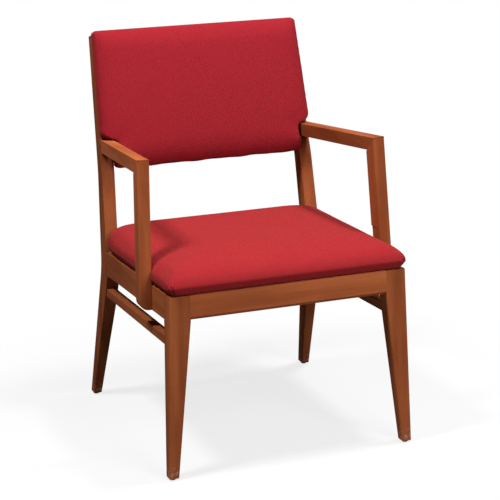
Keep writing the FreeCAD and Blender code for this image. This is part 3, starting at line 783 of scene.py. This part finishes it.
def slant_notches(pad, local):
    """Draws the cloth over each arm down towards the pad's narrower part, which spreads below the arm."""
    flat = flat_points(pad, local)
    low = flat.min(axis=0)
    across = np.abs(flat[:, 0])
    outer = (NOTCH_OUTER - across) / (NOTCH_OUTER - NOTCH_INNER)
    inner = 1 - (NOTCH_INNER - across) / NOTCH_EASE
    above = flat[:, 1] - low[1] - NOTCH_TOP
    upper = 1 - (above - NOTCH_BAND) / NOTCH_FADE_UP
    lower = 1 + (above + NOTCH_BAND) / NOTCH_FADE_DOWN
    share = np.clip(np.minimum(outer, inner), 0, 1) * np.clip(np.minimum(upper, lower), 0, 1)
    forward = flat[:, 2] - low[2]
    arm_top = low[1] + ARM_TOP - ARM_FALL * forward + ARM_CLEARANCE
    drop = NOTCH_DROP + NOTCH_SLANT * forward + NOTCH_CURVE * forward ** 2
    lowered = flat[:, 1] - drop * share
    over_arm = (across > NOTCH_INNER - NOTCH_MARGIN) & (flat[:, 1] > arm_top)
    flat[:, 1] = np.where(over_arm, np.maximum(lowered, arm_top), lowered)
    under = np.clip(1 - (flat[:, 1] - low[1] - SPREAD_HEIGHT) / SPREAD_FADE, 0, 1)
    outward = np.clip((across - SPREAD_FROM) / SPREAD_RUN, 0, 1)
    flat[:, 0] += np.sign(flat[:, 0]) * SPREAD * under * outward
    set_flat_points(pad, flat, local)


def ripple(pad, local):
    """Lets the pad's lower edge waver a little, as cloth does where it is stapled under."""
    flat = flat_points(pad, local)
    near = np.clip(1 - (flat[:, 1] - flat[:, 1].min()) / RIPPLE_HEIGHT, 0, 1)
    wave = sum(share * np.sin(flat[:, 0] * turns + start) for share, turns, start in RIPPLE_WAVES)
    flat[:, 1] += RIPPLE * wave * near
    set_flat_points(pad, flat, local)


def build_pad(fabric):
    """Back pad: swollen cloth over its foam, notched round the arms."""
    pad = joined_copy("back_pad", PAD_VOXEL, "back_cover", "back_foam", "back_board", "back_outer_cloth")
    local = turned(90 - PAD_LEAN)
    held = held_share(pad, local)
    relax(pad, PAD_FIRST_ROUNDS)
    sharpen_corners(pad, local)
    fill_front(pad, local)
    slant_notches(pad, local)
    relax(pad, PAD_LAST_ROUNDS)
    swell(pad, held, PAD_SHRINK)
    ripple(pad, local)
    subdivide(pad)
    finish_cushion(pad, local, fabric)
    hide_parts("back_cover", "back_foam")


def sheet_faces(shape):
    """Faces of a closed sheet made of two layers of grid points, the outer layer first."""
    count = shape[0] * shape[1]
    index = np.arange(count).reshape(shape)
    corners = [index[:-1, :-1], index[:-1, 1:], index[1:, 1:], index[1:, :-1]]
    quads = np.stack(corners, axis=-1).reshape(-1, 4)
    rim = np.concatenate([index[0, :], index[1:, -1], index[-1, -2::-1], index[-2:0:-1, 0]])
    after = np.roll(rim, -1)
    sides = np.stack([rim, rim + count, after + count, after], axis=-1)
    return np.concatenate([quads[:, ::-1], quads + count, sides[:, ::-1]])


def cloth_sheet(name, node_name, local, trim, relief):
    """Thin closed sheet on a flat node's trimmed outline, just off it, shaped by relief(x, y, edge)."""
    node = nodes[node_name]
    flat = flat_points(node, local)
    first, last = flat[:, 1].min() + trim, flat[:, 1].max() - trim
    rows = np.linspace(first, last, int((last - first) / SHEET_STEP))
    widths = span(flat, edge_ends(node.data), 1, rows)[1] - trim
    columns = np.linspace(-1, 1, int(2 * widths.max() / SHEET_STEP))
    x = widths[:, None] * columns[None, :]
    y = np.repeat(rows[:, None], len(columns), axis=1)
    edge = np.minimum(widths[:, None] - np.abs(x), np.minimum(y - first, last - y))
    outer = flat[:, 2].min() - SHEET_DROP - relief(x, y - (first + last) / 2, edge)
    layers = [np.stack([x, y, outer + up], axis=-1).reshape(-1, 3) for up in (0.0, SHEET_THICKNESS)]
    mesh = bpy.data.meshes.new(name)
    mesh.from_pydata((np.concatenate(layers) @ local).tolist(), [], sheet_faces(x.shape).tolist())
    mesh.polygons.foreach_set("use_smooth", [True] * len(mesh.polygons))
    sheet = bpy.data.objects.new(name, mesh)
    bpy.context.scene.collection.objects.link(sheet)
    area = float((widths[1:] + widths[:-1]) @ np.diff(rows))
    return sheet, (float(2 * widths.max()), float(last - first)), area


def build_back_panel(fabric):
    """Red cloth panel on the pad's rear, its edges turned under."""
    def relief(x, y, edge):
        turned_under = PANEL_TURN * np.clip(1 - (edge - TURN_WIDTH) / TURN_FADE, 0, 1)
        waves = PULL_HEIGHT * np.sin(x * PULL_WAVES_X) * np.sin(y * PULL_WAVES_Y)
        return turned_under + waves * np.clip(1 - edge / PULL_REACH, 0, 1)

    local = turned(90 - PAD_LEAN)
    panel, flat, area = cloth_sheet("back_panel", "back_outer_cloth", local, PANEL_TRIM, relief)
    unfold(panel, local)
    panel.data.materials.append(fabric)
    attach(panel, "root")
    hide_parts("back_outer_cloth")


def build_dust_cloth():
    """Black dust cloth under the seat, sagging a little between its stapled edges."""
    def relief(x, y, edge):
        inside = np.maximum(edge, 0)
        sag = DUST_SAG * (1 - np.exp(-inside / SAG_RUN))
        waves = np.sin(x * CREASE_WAVES + CREASE_SWAY * np.sin(y * SWAY_WAVES))
        return sag + CREASE_HEIGHT * waves * np.exp(-inside / CREASE_REACH)

    local = turned(-SEAT_SLOPE)
    cloth, flat, area = cloth_sheet("dust_cloth", "seat_dust_cloth", local, DUST_TRIM, relief)
    cloth.data.materials.append(speckled(*DUST_FELT))
    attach(cloth, "root")
    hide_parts("seat_dust_cloth")


def add_camera():
    """The photograph's camera."""
    data = bpy.data.cameras.new("camera")
    data.lens = CAMERA_LENS
    data.sensor_width = SENSOR_WIDTH
    data.shift_x = CAMERA_SHIFT_X
    data.shift_y = CAMERA_SHIFT_Y
    camera = bpy.data.objects.new("camera", data)
    bpy.context.scene.collection.objects.link(camera)
    azimuth = math.radians(CAMERA_AZIMUTH)
    elevation = math.radians(CAMERA_ELEVATION)
    level = math.cos(elevation)
    back = Vector((math.sin(azimuth) * level, -math.cos(azimuth) * level, math.sin(elevation)))
    look = (-back).to_track_quat("-Z", "Y").to_matrix()
    roll = Matrix.Rotation(math.radians(CAMERA_ROLL), 3, "Z")
    place = Matrix.Translation(CAMERA_TARGET + back * CAMERA_DISTANCE)
    camera.matrix_world = place @ (look @ roll).to_4x4()
    bpy.context.scene.camera = camera


def seen_directly(tree):
    """1 for rays that show a surface as a picture: camera, glossy and transmission rays."""
    path = add_node(tree, "ShaderNodeLightPath")
    seen = calculate(tree, "MAXIMUM", path.outputs["Is Camera Ray"], path.outputs["Is Glossy Ray"])
    return calculate(tree, "MAXIMUM", seen, path.outputs["Is Transmission Ray"])


def floor_material():
    """Pale floor that keeps the shadow round the object and is plain white further out."""
    material, tree, shader = new_material("pale_floor")
    seen = seen_directly(tree)
    tree.links.new(mix_colours(tree, seen, FLOOR_BOUNCE, FLOOR_PALE), shader.inputs["Base Color"])
    set_inputs(shader, FLOOR_FINISH)
    white = add_node(tree, "ShaderNodeEmission", Strength=1.0)
    distance = add_node(tree, "ShaderNodeVectorMath", operation="LENGTH")
    tree.links.new(object_place(tree), distance.inputs[0])
    far = ramp(tree, distance.outputs["Value"], SHADOW_NEAR, SHADOW_FAR)
    share = remapped(tree, far, 1 - SHADOW_SHARE, 1.0)
    mix = add_node(tree, "ShaderNodeMixShader")
    tree.links.new(calculate(tree, "MULTIPLY", share, seen), mix.inputs[0])
    tree.links.new(shader.outputs[0], mix.inputs[1])
    tree.links.new(white.outputs[0], mix.inputs[2])
    tree.links.new(mix.outputs[0], tree.nodes["Material Output"].inputs["Surface"])
    return material


def add_floor():
    """Flat floor under the glides."""
    mesh = bpy.data.meshes.new("floor")
    corners = [(x * FLOOR_HALF, y * FLOOR_HALF, 0) for x, y in ((-1, -1), (1, -1), (1, 1), (-1, 1))]
    mesh.from_pydata(corners, [], [(0, 1, 2, 3)])
    mesh.materials.append(floor_material())
    floor = bpy.data.objects.new("floor", mesh)
    bpy.context.scene.collection.objects.link(floor)


def add_world():
    """White backdrop that lights the object only a little."""
    world = bpy.data.worlds.new("backdrop")
    bpy.context.scene.world = world
    world.use_nodes = True
    tree = world.node_tree
    background = tree.nodes["Background"]
    background.inputs["Color"].default_value = (1, 1, 1, 1)
    strength = remapped(tree, seen_directly(tree), WORLD_LIGHT, 1.0)
    tree.links.new(strength, background.inputs["Strength"])


def add_lights():
    """High soft boxes: one to each side, by which the arms throw shadows on the seat, and one in front."""
    for name, (place, size, power) in LAMPS.items():
        data = bpy.data.lights.new(name, "AREA")
        data.size = size
        data.energy = power
        light = bpy.data.objects.new(name, data)
        light.location = place
        light.rotation_euler = (LAMP_TARGET - Vector(place)).to_track_quat("-Z", "Y").to_euler()
        bpy.context.scene.collection.objects.link(light)


dress_frame()
# Lit and shaded copies of one fabric: the seat's painted lighter, the pad's painted darker
seat_fabric_painted_lighter = red_weave("seat_weave_painted_lighter", SEAT_LIGHT, SEAT_DARK)
pad_fabric_painted_darker = red_weave("pad_weave_painted_darker", PAD_LIGHT, PAD_DARK)
build_seat(seat_fabric_painted_lighter)
build_pad(pad_fabric_painted_darker)
build_back_panel(pad_fabric_painted_darker)
build_dust_cloth()
add_floor()
add_world()
add_lights()
add_camera()
bpy.context.scene.view_settings.view_transform = "Standard"
